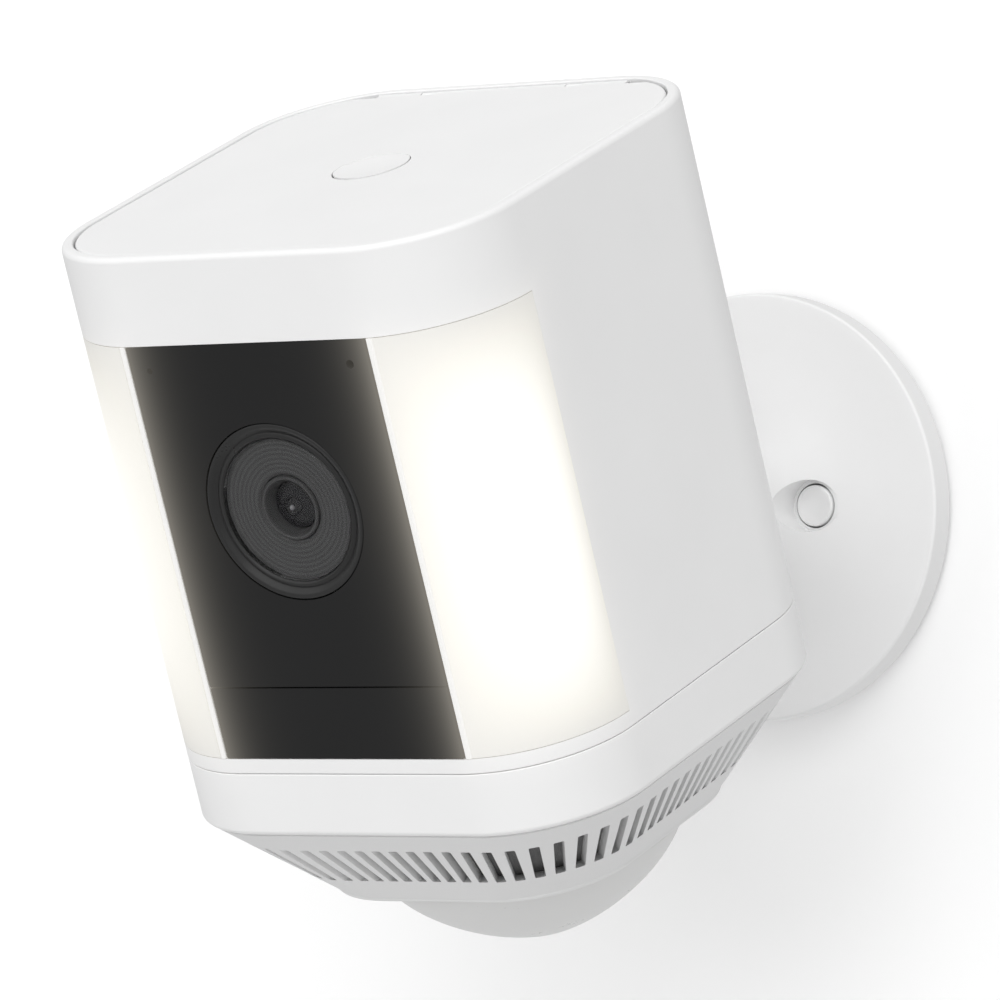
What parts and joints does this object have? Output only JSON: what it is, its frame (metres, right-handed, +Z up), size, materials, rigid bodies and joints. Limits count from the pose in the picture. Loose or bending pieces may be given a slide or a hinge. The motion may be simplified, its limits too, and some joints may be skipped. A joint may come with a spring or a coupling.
{
  "type": "floodlight security camera",
  "caption": "Wall-mounted security camera with a rounded-square head, two lit corner windows, a black lens panel, a slotted speaker base with a sensor dome, and a ball-jointed round mount.",
  "frame": {"origin": "centre of the flat back of the wall plate, where it meets the wall", "axes": "+Z up, the wall lies at +Y, the camera looks towards -Y, +X to the right seen from the front"},
  "size_m": [0.081, 0.1694, 0.1355],
  "materials": {
    "white_plastic": "satin white moulded plastic",
    "mount_plastic": "satin white moulded plastic",
    "grille_plastic": "satin white moulded plastic with slots",
    "dome_plastic": "milky translucent plastic",
    "panel_black": "gloss black",
    "dark_plastic": "fine grain dark plastic",
    "lens_black": "satin black",
    "lens_glass": "coated clear glass",
    "filter_glass": "tinted filter glass",
    "diffuser": "translucent warm white diffuser, lit from behind",
    "light_white": "bright white reflector",
    "board_green": "solder mask",
    "steel": "zinc plated",
    "rubber_dark": "soft seal rubber",
    "cone_paper": "pressed paper cone",
    "battery_case": "fine grain battery case",
    "tab_grey": "grey release tab",
    "button_orange": "orange button"
  },
  "bodies": {
    "wall_mount": {"wall_base": "mount_plastic", "back_plate": "steel", "wall_gasket": "rubber_dark", "wall_screw_left": "steel", "wall_screw_right": "steel", "screw_cap_left": "mount_plastic", "screw_cap_right": "mount_plastic"},
    "head": {"top_deck": "white_plastic", "housing_shell": "white_plastic", "front_carrier": "white_plastic", "bottom_cap": "white_plastic", "socket_housing": "white_plastic", "speaker_grille": "grille_plastic", "pir_dome": "dome_plastic", "front_panel_upper": "panel_black", "front_panel_lower": "panel_black", "battery_cradle": "dark_plastic", "filter_housing": "dark_plastic", "lower_deck": "dark_plastic", "speaker_frame": "dark_plastic", "charge_port": "dark_plastic", "lens_ring": "lens_black", "lens_baffle": "lens_black", "lens_barrel": "lens_black", "lens_cover": "lens_glass", "lens_front_element": "lens_glass", "light_window_left": "diffuser", "light_window_right": "diffuser", "led_board_left": "light_white", "led_board_right": "light_white", "reflector_left": "light_white", "reflector_right": "light_white", "camera_board": "board_green", "ir_board": "board_green", "main_board": "board_green", "pir_board": "board_green", "lid_hinge_pin": "steel", "microphone": "steel", "wifi_module": "steel", "speaker_magnet": "steel", "pir_sensor": "steel", "socket_screw_1": "steel", "socket_screw_2": "steel", "socket_screw_3": "steel", "lid_seal": "rubber_dark", "cap_seal": "rubber_dark", "battery_left": "battery_case", "battery_right": "battery_case"},
    "arm": {"arm_ball": "mount_plastic", "arm_bolt": "steel"},
    "seat": {"ball_seat": "dark_plastic"},
    "lid": {"battery_lid": "white_plastic"},
    "latch": {"lid_button": "white_plastic"},
    "tab_left": {"battery_tab_left": "tab_grey"},
    "tab_right": {"battery_tab_right": "tab_grey"},
    "setup_key": {"setup_button": "button_orange"},
    "flap": {"port_flap": "white_plastic"},
    "collar": {"clamp_collar": "white_plastic"},
    "filter": {"ir_filter_blade": "filter_glass"},
    "cone": {"speaker_cone": "cone_paper"}
  },
  "joints": [
    {"name": "arm_roll", "type": "hinge", "parent": "wall_mount", "child": "arm", "pos_m": [0, -0.0243, 0], "axis": [0, 1, 0], "range_deg": [-90, 90]},
    {"name": "seat_pan", "type": "hinge", "parent": "arm", "child": "seat", "pos_m": [0, -0.04489, 0], "axis": [0, 0, 1], "range_deg": [-25, 25]},
    {"name": "head_tilt", "type": "hinge", "parent": "seat", "child": "head", "pos_m": [0, -0.04489, 0], "axis": [1, 0, 0], "range_deg": [-40, 19]},
    {"name": "lid_hinge", "type": "hinge", "parent": "head", "child": "lid", "pos_m": [0, -0.07507, 0.06565], "axis": [-1, 0, 0], "range_deg": [0, 95]},
    {"name": "lid_latch", "type": "slide", "parent": "lid", "child": "latch", "axis": [0, 0.3566, -0.9343], "range_m": [0, 0.0009], "stiffness_N_per_m": 300, "springref_m": -0.0005},
    {"name": "tab_left_press", "type": "slide", "parent": "head", "child": "tab_left", "axis": [0, 0.9343, 0.3566], "range_m": [0, 0.0012], "stiffness_N_per_m": 300, "springref_m": -0.0005},
    {"name": "tab_right_press", "type": "slide", "parent": "head", "child": "tab_right", "axis": [0, 0.9343, 0.3566], "range_m": [0, 0.0012], "stiffness_N_per_m": 300, "springref_m": -0.0005},
    {"name": "setup_press", "type": "slide", "parent": "head", "child": "setup_key", "axis": [0, -0.9343, -0.3566], "range_m": [0, 0.0007], "stiffness_N_per_m": 300, "springref_m": -0.0005},
    {"name": "flap_hinge", "type": "hinge", "parent": "head", "child": "flap", "pos_m": [0, -0.06172, 0.03741], "axis": [1, 0, 0], "range_deg": [0, 110], "stiffness_Nm_per_rad": 0.002, "springref_deg": -11.46},
    {"name": "collar_turn", "type": "hinge", "parent": "head", "child": "collar", "pos_m": [0, -0.04489, 0], "axis": [0, 0.9343, 0.3566], "range_deg": [0, 90]},
    {"name": "filter_shift", "type": "slide", "parent": "head", "child": "filter", "axis": [1, 0, 0], "range_m": [0, 0.007]},
    {"name": "cone_travel", "type": "slide", "parent": "head", "child": "cone", "axis": [0, -0.3566, 0.9343], "range_m": [-0.0007, 0.0007], "stiffness_N_per_m": 800}
  ]
}
